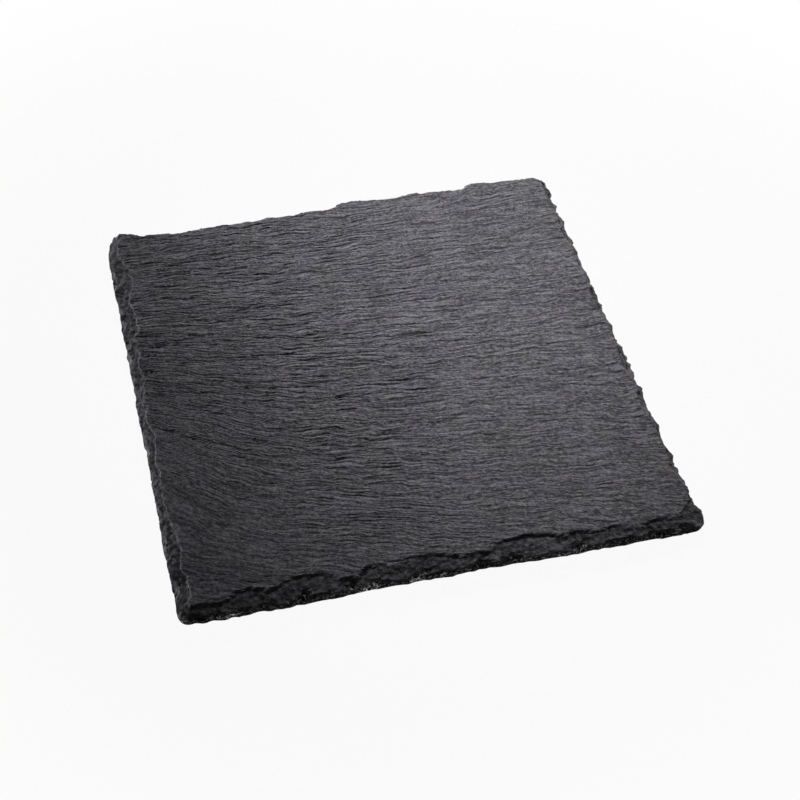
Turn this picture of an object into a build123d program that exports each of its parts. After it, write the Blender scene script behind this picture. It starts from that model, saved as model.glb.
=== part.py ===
from build123d import *
from itertools import cycle
from math import sqrt
import os

# A square slate serving board: one riven slate slab with hand-flaked edges,
# standing on four foam feet that are stuck on with discs of double-sided tape.
# Millimetres, +Z up, origin on the table under the middle of the board, front edge towards -Y.

# Slate slab
board_side = 200.0
slab_thickness = 5.5
edge_skew = 1.2  # the trimmed front and back edges run out of square by this much at each end
front_left_radius = 3.0  # each corner is dubbed off by its own amount
front_right_radius = 2.5
back_right_radius = 7.0
back_left_radius = 3.5

# Feet
pad_diameter = 12.0
pad_height = 2.0
pad_edge_round = 0.4
pad_inset = 25.0  # from the board's sides to the middle of a foot
tape_thickness = 0.2

# Flake scars along the upper rim, each as (length along the edge, setback of the rim).
# The lists go round the board anticlockwise, seen from above, and start again on a longer edge.
front_flakes = [
    (17, 4.6), (19, 6.8), (22, 8.6), (8, 4.6), (15, 6.8), (24, 7.1),
    (13, 4.6), (25, 8.4), (15, 6.0), (16, 4.7), (14, 3.4), (12, 2.0),
]
right_flakes = [
    (7, 2.0), (12, 3.0), (16, 3.5), (15, 3.2), (19, 4.0), (22, 4.2), (14, 3.2),
    (22, 4.2), (7, 2.6), (16, 3.4), (20, 3.8), (22, 4.0), (10, 3.5),
]
back_flakes = [
    (8, 7.5), (25, 5.6), (25, 5.4), (9, 3.6), (18, 4.6), (10, 3.2),
    (16, 4.8), (17, 5.2), (19, 5.2), (28, 5.0), (18, 3.2), (7, 1.0),
]
left_flakes = [
    (15, 4.3), (25, 6.9), (20, 6.2), (17, 4.3), (19, 4.0), (12, 2.6),
    (18, 3.9), (16, 3.2), (14, 2.9), (21, 5.3), (14, 5.6), (9, 4.2),
]

# How deep the scars reach below the top face: past the slab's underside they scallop the lower rim
front_flake_depth = 5.0
right_flake_depth = 5.8
back_flake_depth = 6.2
left_flake_depth = 5.0

# A scar's whole width over the length of rim that its neighbours leave of it: more makes a straighter rim
front_overlap = 1.35
right_overlap = 1.5
back_overlap = 2.0
left_overlap = 1.5
flake_spread = 2.3  # a scar is at least this many times as wide as it is deep, so it never undercuts the rim

# One scar across each corner, as (width, setback along the diagonal, depth)
front_left_flake = (14, 5.0, 4.5)
front_right_flake = (20, 9.5, 4.0)
back_right_flake = (18, 6.5, 5.0)
back_left_flake = (14, 5.0, 5.0)

# Heights and outline that follow from the sizes above
slab_bottom = pad_height + tape_thickness
slab_top = slab_bottom + slab_thickness
half_side = board_side / 2
front_left = Vector(-half_side, -half_side + edge_skew)
front_right = Vector(half_side, -half_side - edge_skew)
back_right = Vector(half_side, half_side + edge_skew)
back_left = Vector(-half_side, half_side - edge_skew)
corners = [
    (front_left, front_left_radius, front_left_flake),
    (front_right, front_right_radius, front_right_flake),
    (back_right, back_right_radius, back_right_flake),
    (back_left, back_left_radius, back_left_flake),
]
edges = [
    (front_left, front_right, front_flakes, front_flake_depth, front_overlap),
    (front_right, back_right, right_flakes, right_flake_depth, right_overlap),
    (back_right, back_left, back_flakes, back_flake_depth, back_overlap),
    (back_left, front_left, left_flakes, left_flake_depth, left_overlap),
]
foot_reach = half_side - pad_inset
foot_centres = {
    "front_left": (-foot_reach, -foot_reach),
    "front_right": (foot_reach, -foot_reach),
    "back_right": (foot_reach, foot_reach),
    "back_left": (-foot_reach, foot_reach),
}


def laid_end_to_end(flakes, edge_length):
    """Give each flake's middle along the edge with its sizes, until the edge is full."""
    start = 0.0
    for length, setback in cycle(flakes):
        if start >= edge_length:
            return
        yield start + length / 2, length, setback
        start += length


def rim_plane(point, along):
    """Give the plane at a point of the upper rim whose X runs along the rim and whose Y points into the slab."""
    return Plane(origin=(point.X, point.Y, slab_top), x_dir=along, z_dir=(0, 0, 1))


def cut_flake(rim, middle, width, setback, depth):
    """Cut one shell-shaped scar with a ball, at a distance along the rim, from the slab being built.

    The ball meets the top face along an arc that stands back from the rim by the setback,
    and the side of the slab along an arc that goes down by the depth; both arcs span the same chord.
    """
    half_chord = max(width, flake_spread * max(setback, depth)) / 2
    outside = (half_chord**2 - setback**2) / (2 * setback)
    above = (half_chord**2 - depth**2) / (2 * depth)
    with Locations(rim.location * Location((middle, -outside, above))):
        Sphere(sqrt(half_chord**2 + outside**2 + above**2), mode=Mode.SUBTRACT)


os.makedirs("parts", exist_ok=True)

# The slab is trimmed to its outline, then flaked along every upper edge and across every corner
with BuildPart() as slate_slab:
    with BuildSketch(Plane.XY.offset(slab_bottom)) as outline:
        with BuildLine():
            Polyline(*(corner for corner, _, _ in corners), close=True)
        make_face()
        for corner, radius, _ in corners:
            fillet(outline.vertices().sort_by_distance(corner)[0], radius)
    extrude(amount=slab_thickness)
    for start, end, flakes, depth, overlap in edges:
        rim = rim_plane(start, end - start)
        for middle, length, setback in laid_end_to_end(flakes, (end - start).length):
            cut_flake(rim, middle, overlap * length, setback, depth)
    for corner, _, (width, setback, depth) in corners:
        across = Vector(-corner.Y, corner.X)
        cut_flake(rim_plane(corner, across), 0, width, setback, depth)
slate_slab.part.label = "slate_slab"
export_step(slate_slab.part, "parts/slate_slab.step")

# One foot and its tape under each corner
for corner_name, centre in foot_centres.items():
    with BuildPart() as foot_pad:
        with BuildSketch(Plane.XY):
            with Locations(centre):
                Circle(pad_diameter / 2)
        extrude(amount=pad_height)
        fillet(foot_pad.edges().group_by(Axis.Z)[0], pad_edge_round)
    foot_pad.part.label = f"foot_pad_{corner_name}"
    export_step(foot_pad.part, f"parts/foot_pad_{corner_name}.step")

    with BuildPart() as adhesive_disc:
        with BuildSketch(Plane.XY.offset(pad_height)):
            with Locations(centre):
                Circle(pad_diameter / 2)
        extrude(amount=tape_thickness)
    adhesive_disc.part.label = f"adhesive_disc_{corner_name}"
    export_step(adhesive_disc.part, f"parts/adhesive_disc_{corner_name}.step")
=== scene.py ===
"""Looks of the slate serving board: the riven slab, its foam feet and tape, and the studio round them.

Lengths are millimetres in the board's own frame until a mesh is made: +X right, +Y back, +Z up.
"""

import logging
from collections.abc import Iterator
from dataclasses import dataclass, replace
from enum import Enum
from itertools import cycle
from math import cos, pi, radians, sin, sqrt

import bpy
import numpy as np
from mathutils import Euler, Matrix, Vector

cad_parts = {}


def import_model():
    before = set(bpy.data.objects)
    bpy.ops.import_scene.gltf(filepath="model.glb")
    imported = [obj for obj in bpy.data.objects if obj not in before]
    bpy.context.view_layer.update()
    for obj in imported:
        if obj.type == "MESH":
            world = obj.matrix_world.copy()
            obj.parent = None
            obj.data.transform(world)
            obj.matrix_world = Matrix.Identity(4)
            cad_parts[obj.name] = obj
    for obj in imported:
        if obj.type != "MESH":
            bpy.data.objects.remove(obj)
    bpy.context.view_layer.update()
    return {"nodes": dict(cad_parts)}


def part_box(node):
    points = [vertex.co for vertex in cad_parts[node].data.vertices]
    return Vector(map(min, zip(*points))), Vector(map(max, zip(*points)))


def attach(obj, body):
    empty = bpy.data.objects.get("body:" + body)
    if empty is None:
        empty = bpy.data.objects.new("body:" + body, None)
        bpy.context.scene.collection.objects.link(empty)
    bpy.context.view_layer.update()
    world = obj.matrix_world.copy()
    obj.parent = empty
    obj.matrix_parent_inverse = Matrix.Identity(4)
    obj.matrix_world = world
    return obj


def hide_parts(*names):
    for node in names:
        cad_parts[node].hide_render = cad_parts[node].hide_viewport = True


# A triple is a colour, a place or one factor for each axis; a span is where something starts and ends
Array = np.ndarray
Triple = tuple[float, float, float]
Span = tuple[float, float]
Socket = bpy.types.NodeSocket

MM = 0.001
BODY = "root"
WHITE = (1.0, 1.0, 1.0, 1.0)
LOG = logging.getLogger("slate_board")


class Side(Enum):
    """The four sides of the board, anticlockwise from above, each with the number of its first corner."""

    FRONT = 0
    RIGHT = 1
    BACK = 2
    LEFT = 3


class Corner(Enum):
    """The four corners of the board, anticlockwise from above, by their part of the CAD names."""

    FRONT_LEFT = "front_left"
    FRONT_RIGHT = "front_right"
    BACK_RIGHT = "back_right"
    BACK_LEFT = "back_left"


class Blend(Enum):
    """Ways to put one colour over another."""

    MIX = "MIX"
    MULTIPLY = "MULTIPLY"


class Ray(Enum):
    """Kinds of ray that see the white studio instead of its light."""

    CAMERA = "Is Camera Ray"
    GLOSSY = "Is Glossy Ray"
    TRANSMISSION = "Is Transmission Ray"


def smooth_step(low: float, high: float, value: Array) -> Array:
    """Rise from 0 at low to 1 at high along a cubic with level ends."""
    t = np.clip((value - low) / (high - low), 0.0, 1.0)
    return t * t * (3.0 - 2.0 * t)


def log_cosh(value: Array) -> Array:
    """Give a curve whose slope turns smoothly from -1 to 1 round 0."""
    return np.log(np.cosh(value))


def facing(direction: Vector, roll: float) -> Euler:
    """Give the turn of a lamp or camera that looks along a direction, rolled by some degrees about it."""
    turn = direction.to_track_quat("-Z", "Y").to_matrix() @ Matrix.Rotation(radians(roll), 3, "Z")
    return turn.to_euler()


# Multipliers that scatter the indices of a lattice, and what brings its values to about -1 to 1
SCATTER_I, SCATTER_J, SCATTER_SEED, SCATTER_MIX = 374761393, 668265263, 40503, 1274126177
NOISE_GAIN = 1.5


@dataclass(frozen=True)
class StoneNoise:
    """Smooth seeded unevenness on a lattice of unit cells.

    Attributes:
        seed: number that picks the pattern.
    """

    seed: int

    def _slope(self, i: Array, j: Array, a: Array, b: Array) -> Array:
        """Give a lattice corner's own slope, taken from the corner to the point.

        Args:
            i: corner index along the first axis.
            j: corner index along the second axis.
            a: offset from the corner along the first axis.
            b: offset from the corner along the second axis.

        Returns:
            The corner's unit direction, picked by a hash of its indices, dotted with the offset.
        """
        mixed = i.astype(np.uint32) * np.uint32(SCATTER_I) + j.astype(np.uint32) * np.uint32(SCATTER_J)
        mixed = mixed + np.uint32(self.seed * SCATTER_SEED % 2**32)
        mixed = (mixed ^ (mixed >> np.uint32(13))) * np.uint32(SCATTER_MIX)
        turn = (mixed ^ (mixed >> np.uint32(16))).astype(float) * (2.0 * pi / 2**32)
        return np.cos(turn) * a + np.sin(turn) * b

    def at(self, x: Array, y: Array) -> Array:
        """Give the unevenness at points of the lattice.

        Args:
            x: first coordinate of each point, in cells.
            y: second coordinate of each point, in cells.

        Returns:
            Values of about -1 to 1: the four corner slopes of each cell, blended by a quintic.
        """
        x, y = np.broadcast_arrays(np.asarray(x, float), np.asarray(y, float))
        i, j = np.floor(x).astype(np.int64), np.floor(y).astype(np.int64)
        a, b = x - i, y - j
        u = a**3 * (a * (a * 6.0 - 15.0) + 10.0)
        v = b**3 * (b * (b * 6.0 - 15.0) + 10.0)
        near = self._slope(i, j, a, b) * (1.0 - u) + self._slope(i + 1, j, a - 1.0, b) * u
        far = self._slope(i, j + 1, a, b - 1.0) * (1.0 - u) + self._slope(i + 1, j + 1, a - 1.0, b - 1.0) * u
        return (near * (1.0 - v) + far * v) * NOISE_GAIN


def mesh_object(name: str, points: Array, quads: Array, triangles: Array) -> bpy.types.Object:
    """Make a mesh object at the origin from whole arrays.

    Args:
        name: name of the piece.
        points: vertices in millimetres, one row each.
        quads: rows of four vertex indices, anticlockwise from outside.
        triangles: rows of three vertex indices, anticlockwise from outside.

    Returns:
        The object, linked to the scene.
    """
    mesh = bpy.data.meshes.new(name)
    corners = np.concatenate([quads.ravel(), triangles.ravel()]).astype(np.int32)
    sizes = np.concatenate([np.full(len(quads), 4), np.full(len(triangles), 3)]).astype(np.int32)
    mesh.vertices.add(len(points))
    mesh.vertices.foreach_set("co", (points * MM).astype(np.float32).ravel())
    mesh.loops.add(len(corners))
    mesh.loops.foreach_set("vertex_index", corners)
    mesh.polygons.add(len(sizes))
    mesh.polygons.foreach_set("loop_start", np.concatenate([[0], np.cumsum(sizes)[:-1]]).astype(np.int32))
    mesh.update(calc_edges=True)
    mesh.validate()
    piece = bpy.data.objects.new(name, mesh)
    bpy.context.scene.collection.objects.link(piece)
    return piece


def grid_quads(index: Array) -> Array:
    """Give the quads of a grid of vertex indices, anticlockwise where columns run right and rows run up."""
    return np.stack([index[:-1, :-1], index[:-1, 1:], index[1:, 1:], index[1:, :-1]], -1).reshape(-1, 4)


def rim_of(grid: Array) -> Array:
    """Give the border entries of a grid in one anticlockwise ring, from its first corner."""
    return np.concatenate([grid[0, :-1], grid[:-1, -1], grid[-1, :0:-1], grid[:0:-1, 0]])


@dataclass(frozen=True)
class Fade:
    """A smooth fall from 1 to a lower level.

    Attributes:
        start: where it starts to fall.
        end: where it has fallen.
        loss: how far it falls.
    """

    start: float
    end: float
    loss: float = 1.0

    def at(self, value: Array) -> Array:
        """Give the level at places on its way."""
        return 1 - self.loss * smooth_step(self.start, self.end, value)


@dataclass(frozen=True)
class Ripple:
    """Unevenness of one size, drawn out along its first axis.

    Attributes:
        seed: number that picks the pattern.
        along: length of a ripple along the first axis.
        across: width of a ripple along the second.
        height: height of a ripple.
        lean: how far a crest leans along the second axis, in widths.
    """

    seed: int
    along: float
    across: float
    height: float = 1.0
    lean: float = 0.0

    def at(self, along: Array, across: Array) -> Array:
        """Give heights at places.

        Args:
            along: place along the first axis.
            across: place along the second axis.

        Returns:
            Seeded noise, read where its own value has shifted the place, which makes the crests lean.
        """
        noise = StoneNoise(self.seed)
        s, w = along / self.along, across / self.across
        return self.height * noise.at(s, w + self.lean * noise.at(s, w))


@dataclass(frozen=True)
class Ridges:
    """Fine ridges of the cleft face, at nearly even spacing.

    Attributes:
        spacing: distance from ridge to ridge.
        height: height of a ridge above the mean, before it swells.
        bends: how far the ridges wander, in spacings.
        swell: how much their height varies.
        mean: their mean swelling.
        least: their least swelling.
    """

    spacing: float
    height: float
    bends: tuple[Ripple, ...]
    swell: Ripple
    mean: float = 0.75
    least: float = 0.1

    def at(self, along: Array, across: Array) -> Array:
        """Give heights at places along and across the grain.

        Args:
            along: place along the grain.
            across: place across the grain.

        Returns:
            A sine across the grain whose phase bends and whose height swells and dies away along it.
        """
        bend = sum(ripple.at(along, across) for ripple in self.bends)
        swell = np.maximum(self.mean + self.swell.at(along, across), self.least)
        return self.height * swell * np.sin(2 * pi * (across / self.spacing + bend))


@dataclass(frozen=True)
class Grain:
    """The way that the grain of the cleft face runs.

    Its ridges slope down to the right, less so towards the back and on the right half, and sweep steeply
    down from the left side, most of all a little in front of its middle.

    Attributes:
        slope: fall of the ridges over their run.
        ease: how much less they fall for each millimetre to the back.
        turn: half of what they fall further on the left half.
        turn_at: place to the right where that ends.
        turn_width: distance over which it ends.
        sweep: half of what they fall further in the sweep.
        sweep_middle: place to the back where the sweep is steepest.
        sweep_width: how far it reaches from there.
        bend_at: place to the right where it ends.
        bend_width: distance over which it ends.
        still: place to the right where the sweep moves nothing.
        wander: slow bends of the ridges.
        crinkle: fine bends of the ridges.
    """

    slope: float = 0.10
    ease: float = 0.0013
    turn: float = 0.045
    turn_at: float = 4.0
    turn_width: float = 14.0
    sweep: float = 0.30
    sweep_middle: float = -25.0
    sweep_width: float = 45.0
    bend_at: float = -58.0
    bend_width: float = 18.0
    still: float = 100.0
    wander: tuple[Ripple, ...] = (Ripple(31, 26.0, 15.0, 1.3), Ripple(32, 8.5, 6.0))
    crinkle: Ripple = Ripple(33, 3.2, 3.0, 0.28)

    def at(self, x: Array, y: Array) -> tuple[Array, Array]:
        """Give the coordinates along and across the grain.

        Args:
            x: plan coordinate to the right.
            y: plan coordinate to the back.

        Returns:
            The coordinate along the grain, and the one across it, which is the same all along a ridge.
        """
        level = log_cosh((self.still - self.bend_at) / self.bend_width)
        bent = (x - self.still) - self.bend_width * (log_cosh((x - self.bend_at) / self.bend_width) - level)
        swept = self.sweep * np.exp(-(((y - self.sweep_middle) / self.sweep_width) ** 2)) * bent
        turned = self.turn * (x - self.turn_width * log_cosh((x - self.turn_at) / self.turn_width))
        wander = sum(ripple.at(x, y) for ripple in self.wander)
        sloped = y + (self.slope - self.ease * y) * x
        return x, sloped + turned + swept + wander + self.crinkle.at(x, y)


@dataclass(frozen=True)
class Riser:
    """The broken end of one layer of slate, which makes a step in the scars.

    Attributes:
        seed: number that picks how its line wanders.
        depth: depth of the scars at which it lies.
        wander: how much that depth varies.
        height: height of the step.
        width: change of depth over which it drops.
        bend: length of the bends of its line.
        jag: length of the jags on these.
        jag_share: size of a jag beside a bend.
        swell: length over which its height varies.
        swell_share: how much of its height varies.
        shift: what keeps that apart from the bends, in cells of noise.
    """

    seed: int
    depth: float
    wander: float
    height: float
    width: float
    bend: float = 9.0
    jag: float = 3.1
    jag_share: float = 0.5
    swell: float = 13.0
    swell_share: float = 0.8
    shift: float = 3.3

    def at(self, x: Array, y: Array, depth: Array) -> Array:
        """Give how far the step has dropped.

        Args:
            x: plan coordinate to the right.
            y: plan coordinate to the back.
            depth: depth of the scars there.

        Returns:
            0 above the step, its whole height below it, and a smooth rise between.
        """
        noise = StoneNoise(self.seed)
        line = noise.at(x / self.bend, y / self.bend) + self.jag_share * noise.at(x / self.jag, y / self.jag)
        swelling = noise.at(x / self.swell, y / self.swell + self.shift)
        height = self.height * (1.0 + self.swell_share * swelling)
        return height * smooth_step(0.0, 1.0, (depth - (self.depth + self.wander * line)) / self.width)


# The cleft faces
TOP_SAG = Ripple(41, 60.0, 48.0, 0.10)
TOP_RIPPLES = (
    Ripple(42, 34.0, 5.0, 0.11),
    Ripple(43, 17.0, 2.3, 0.11, 0.03),
    Ripple(44, 11.0, 1.1, 0.155, 0.02),
    Ridges(2.05, 0.10, (Ripple(45, 20.0, 5.5, 1.1), Ripple(46, 6.0, 3.0, 0.5)), Ripple(47, 15.0, 3.2, 0.8)),
)
UNDER_RIPPLES = (Ripple(61, 28.0, 7.0, 0.16), Ripple(62, 9.0, 3.2, 0.10))

# Where the top is less riven: to the right, to the front, and at the front left corner
CALM_RIGHT = Fade(-40.0, 60.0, 0.5)
CALM_FRONT = Fade(35.0, 65.0, 0.12)
CALM_CORNER = Fade(90.0, 145.0, 0.4)

# The broken faces
SCAR_LUMPS = Ripple(51, 5.5, 5.5, 0.8)
SCAR_GRIT = Ripple(52, 2.2, 2.2, 0.35)
SCAR_FACETS = Ripple(56, 4.5, 4.5)
SCAR_CRUMBS = (Ripple(57, 1.8, 1.8), Ripple(58, 0.9, 0.9, 0.5))
RISERS = (
    Riser(53, 0.0, 0.0, 0.55, 0.12),
    Riser(54, 1.8, 1.2, 0.10, 0.20),
    Riser(55, 3.9, 1.0, 2.20, 1.2),
)
WALL_DENTS = Ripple(71, 2.6, 0.9, 0.32)

# Depths between which a scar starts to look freshly broken
FRESH_FROM = (-0.05, 0.3)

# Sums of both plan coordinates between which the scars turn steep
STEEP_FROM = (-16.0, -4.0)

# Painted glints at the foot of the front edge, pale and partly metallic: place to the right, reach and
# strength
PAINTED_GLINT_PLACES = ((-82.0, 3.0, 0.7), (-30.0, 4.0, 1.0), (-13.0, 4.0, 0.6), (-3.0, 4.0, 0.5), (45.0, 18.0, 0.25))

# Patches of rust near the right and back rims, and of bruised edges
RUST_PATCHES = Ripple(81, 9.0, 9.0)
RUST_FADE = Fade(2.0, 9.0)
WEAR_PATCHES = Ripple(82, 6.0, 6.0)


@dataclass(frozen=True)
class Swell:
    """A run of one side that stands further out than straight, or further in where its height is negative.

    Attributes:
        start: distance along the side where it starts to rise.
        full: where it has risen.
        fall: where it starts to fall.
        end: where it has fallen.
        out: its height.
    """

    start: float
    full: float
    fall: float
    end: float
    out: float

    def at(self, s: Array) -> Array:
        """Give how far the side stands out at distances along it."""
        return self.out * smooth_step(self.start, self.full, s) * (1 - smooth_step(self.fall, self.end, s))


@dataclass(frozen=True)
class FlakeRow:
    """The scars that trimming struck off along one side of the board.

    Attributes:
        scars: (length along the rim, setback of the rim) of each scar, in order.
        depth: how far the scars reach below the top face.
        overlap: a scar's whole width over its length along the rim.
        ragged: how far the lower rim wanders in and out.
        nibble: how far the small chips along the rim bite into it at most.
        swells: runs where the side stands further out or in than straight.
    """

    scars: tuple[Span, ...]
    depth: float
    overlap: float
    ragged: float
    nibble: float
    swells: tuple[Swell, ...] = ()


@dataclass(frozen=True)
class CornerFlake:
    """The scar across one corner, and how far the corner is dubbed off.

    Attributes:
        radius: radius of the dubbed corner.
        width: width of the scar.
        setback: how far the scar stands back from the corner.
        depth: how far it reaches below the top face.
        calm: how much of the stone's roughness is missing there.
    """

    radius: float
    width: float
    setback: float
    depth: float
    calm: float = 0.0


FLAKE_ROWS = {
    Side.FRONT: FlakeRow(
        ((17, 4.6), (19, 6.8), (22, 8.6), (8, 4.6), (15, 6.8), (24, 7.1),
         (13, 4.6), (25, 8.4), (15, 6.2), (16, 5.8), (14, 4.9), (12, 3.4)),
        depth=5.0, overlap=1.35, ragged=0.8, nibble=1.3,
        swells=(Swell(-90, -80, 280, 290, 0.7), Swell(-90, -80, 40, 80, 0.5), Swell(120, 160, 280, 290, 0.6)),
    ),
    Side.RIGHT: FlakeRow(
        ((7, 2.0), (12, 3.0), (16, 3.5), (15, 3.2), (19, 4.0), (22, 4.2), (14, 3.2),
         (22, 4.2), (7, 2.6), (16, 3.4), (20, 3.8), (22, 4.0), (10, 3.5)),
        depth=5.8, overlap=1.5, ragged=1.6, nibble=0.8,
        swells=(Swell(-90, -80, 280, 290, 0.4), Swell(0.5, 6.0, 7.0, 13.0, 1.7)),
    ),
    Side.BACK: FlakeRow(
        ((8, 7.5), (25, 5.6), (25, 5.4), (9, 3.6), (18, 4.6), (10, 3.2),
         (16, 4.8), (17, 5.2), (19, 5.2), (28, 5.0), (18, 3.2), (7, 1.0)),
        depth=6.2, overlap=2.0, ragged=1.2, nibble=0.9,
        swells=(
            Swell(-90, -80, 280, 290, 0.4), Swell(10, 30, 35.8, 36.1, 1.7), Swell(41, 49, 56, 66, 0.9),
            Swell(66, 90, 96.6, 96.9, 1.4), Swell(182, 193, 280, 290, 2.1),
        ),
    ),
    Side.LEFT: FlakeRow(
        ((15, 4.3), (25, 6.9), (20, 6.2), (17, 4.3), (19, 4.0), (12, 2.6),
         (18, 3.9), (16, 3.2), (14, 2.9), (21, 5.3), (14, 5.6), (9, 4.2)),
        depth=5.0, overlap=1.5, ragged=0.7, nibble=1.2,
        swells=(Swell(-90, -80, 1.5, 9.0, -2.4),),
    ),
}
CORNER_FLAKES = (
    CornerFlake(radius=4.6, width=14, setback=5.0, depth=4.5),
    CornerFlake(radius=3.8, width=26, setback=11.0, depth=4.0, calm=0.85),
    CornerFlake(radius=5.5, width=18, setback=6.5, depth=5.0),
    CornerFlake(radius=3.2, width=8, setback=1.2, depth=2.5),
)
CALM_REACH = 11.0

# A scar is at least this many times as wide as deep or set back, and outside its ball it rises on a cone
FLAKE_SPREAD = 2.3
CONE_SLOPE = 3.0

# How far inside the rim the swells of a side are felt
SWELL_FADE = Fade(0.0, 30.0)

# Small chips along the rim: their spacing, width and depth, where they start and how rare deep bites are
CHIP_SEED = 91
CHIP_GAP, CHIP_WIDTH, CHIP_DEPTH = (2.0, 6.0), (3.0, 8.0), (0.5, 2.0)
CHIP_LAP = 0.3
CHIP_BIAS = 1.6


@dataclass(frozen=True)
class Ball:
    """The ball whose under surface is one flake scar.

    Attributes:
        x: centre to the right.
        y: centre to the back.
        above: centre above the top face.
        radius: radius of the ball.
        deepest: depth at which the scar runs out on a layer.
    """

    x: float
    y: float
    above: float
    radius: float
    deepest: float = 99.0

    def depth_at(self, x: Array, y: Array) -> Array:
        """Give how far the ball reaches below the top face.

        Args:
            x: plan coordinate to the right.
            y: plan coordinate to the back.

        Returns:
            Depths, negative where the ball stays above the face and outside it.
        """
        away = np.hypot(x - self.x, y - self.y)
        depth = np.sqrt(np.maximum(self.radius**2 - away**2, 0.0)) - self.above
        return np.minimum(depth - CONE_SLOPE * np.maximum(away - self.radius, 0.0), self.deepest)


@dataclass(frozen=True)
class Rim:
    """One straight run of the upper rim that scars are struck from.

    Attributes:
        start: where the run starts, in plan.
        along: unit direction of the run, with the slab on its left.
        length: length of the run.
    """

    start: Array
    along: Array
    length: float

    @property
    def inward(self) -> Array:
        """Unit direction from the rim into the slab."""
        return np.array([-self.along[1], self.along[0]])

    def ball(self, middle: float, width: float, setback: float, depth: float) -> Ball:
        """Give the ball that cuts a scar.

        The ball meets the top face along an arc that stands back from the rim by the setback, and the
        side along an arc that goes down by the depth, and both arcs span the same chord.

        Args:
            middle: distance of the scar's middle along the rim.
            width: chord of the scar.
            setback: how far the scar stands back from the rim.
            depth: how far it reaches down.

        Returns:
            The ball, placed in plan.
        """
        half = max(width, FLAKE_SPREAD * max(setback, depth)) / 2
        outside = (half**2 - setback**2) / (2 * setback)
        above = (half**2 - depth**2) / (2 * depth)
        centre = self.start + self.along * middle - self.inward * outside
        return Ball(centre[0], centre[1], above, sqrt(half**2 + outside**2 + above**2))

    def row_of_balls(self, row: FlakeRow) -> Iterator[Ball]:
        """Lay a row's scars end to end along the rim until it is full.

        Args:
            row: the row of scars.

        Yields:
            The ball of each scar.
        """
        start = 0.0
        for length, setback in cycle(row.scars):
            if start >= self.length:
                return
            yield self.ball(start + length / 2, row.overlap * length, setback, row.depth)
            start += length

    def swell_at(self, row: FlakeRow, x: Array, y: Array) -> Array:
        """Give how far a row's swells move plan points out of the rim.

        Args:
            row: the row of scars.
            x: plan coordinate to the right.
            y: plan coordinate to the back.

        Returns:
            The whole swell at the rim, fading to nothing inside it.
        """
        s = (x - self.start[0]) * self.along[0] + (y - self.start[1]) * self.along[1]
        inside = (x - self.start[0]) * self.inward[0] + (y - self.start[1]) * self.inward[1]
        return sum((swell.at(s) for swell in row.swells), np.zeros_like(s)) * SWELL_FADE.at(inside)

    def setback_at(self, place: float, balls: list[Ball]) -> float:
        """Give how far the deepest of some scars stands back from the rim.

        Args:
            place: distance along the rim.
            balls: the balls that cut the scars.

        Returns:
            The setback there, 0 where no scar reaches.
        """
        setbacks = []
        for ball in balls:
            offset = np.array([ball.x, ball.y]) - (self.start + self.along * place)
            span = ball.radius**2 - ball.above**2 - (offset @ self.along) ** 2
            if span > 0.0:
                setbacks.append(sqrt(span) + offset @ self.inward)
        return max(setbacks, default=0.0)

    def chips(self, row: FlakeRow, balls: list[Ball], seed: int) -> Iterator[Ball]:
        """Nibble small chips out of the rim that a row of scars leaves.

        Args:
            row: the row of scars.
            balls: the balls that cut them.
            seed: number that picks the chips.

        Yields:
            The ball of each chip, which bites into the top face and runs out in the scar below.
        """
        pick = np.random.default_rng(seed)
        place = 0.0
        while place < self.length:
            place += pick.uniform(*CHIP_GAP)
            start = self.start + self.inward * (self.setback_at(place, balls) - CHIP_LAP)
            width = pick.uniform(*CHIP_WIDTH)
            bite = CHIP_LAP + row.nibble * pick.random() ** CHIP_BIAS
            depth = pick.uniform(*CHIP_DEPTH)
            yield replace(Rim(start, self.along, self.length).ball(place, width, bite, depth), deepest=depth)


@dataclass(frozen=True)
class Lumps:
    """Lumps along the lower rim of one side, with sharp notches between them.

    Attributes:
        side: the side, which picks the pattern.
        seed: number that picks the lumps of the first side.
        crumb_seed: number that picks its crumbs.
        length: length of a lump.
        crumb: length of the crumbs on it.
        crumb_share: height of a crumb beside a lump's.
        sway: length of the slow sway below them.
        sway_share: height of the sway beside a lump's.
        mean: what is taken off so that the side keeps its place.
        line: line of the lattice that the lumps are read along.
        other_line: line that the crumbs and the sway are read along.
        fade: how far from a corner the lumps are whole.
        calm_fade: how much further that is at a calm corner.
    """

    side: Side
    seed: int = 11
    crumb_seed: int = 21
    length: float = 4.2
    crumb: float = 1.9
    crumb_share: float = 0.3
    sway: float = 11.0
    sway_share: float = 0.45
    mean: float = 0.33
    line: float = 0.5
    other_line: float = 7.5
    fade: float = 4.0
    calm_fade: float = 9.0

    def at(self, s: Array) -> Array:
        """Give heights along the side.

        Args:
            s: distance along the side.

        Returns:
            Folded noise of lumps and crumbs less its mean, on the sway.
        """
        coarse, fine = StoneNoise(self.seed + self.side.value), StoneNoise(self.crumb_seed + self.side.value)
        crumbs = self.crumb_share * np.abs(fine.at(s / self.crumb, self.other_line))
        lumps = np.abs(coarse.at(s / self.length, self.line)) + crumbs - self.mean
        return lumps + self.sway_share * coarse.at(s / self.sway, self.other_line)


@dataclass(frozen=True)
class Speckle:
    """One fractal noise of a finish.

    Attributes:
        scale: cells in a millimetre along each axis.
        detail: how many finer noises lie over it.
        roughness: how strong each of these is beside the one before.
        low: value up to which it counts as 0.
        high: value from which it counts as 1.
        height: height of the bumps that it makes.
    """

    scale: Triple
    detail: float
    roughness: float
    low: float = 0.0
    high: float = 1.0
    height: float = 0.0


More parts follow.
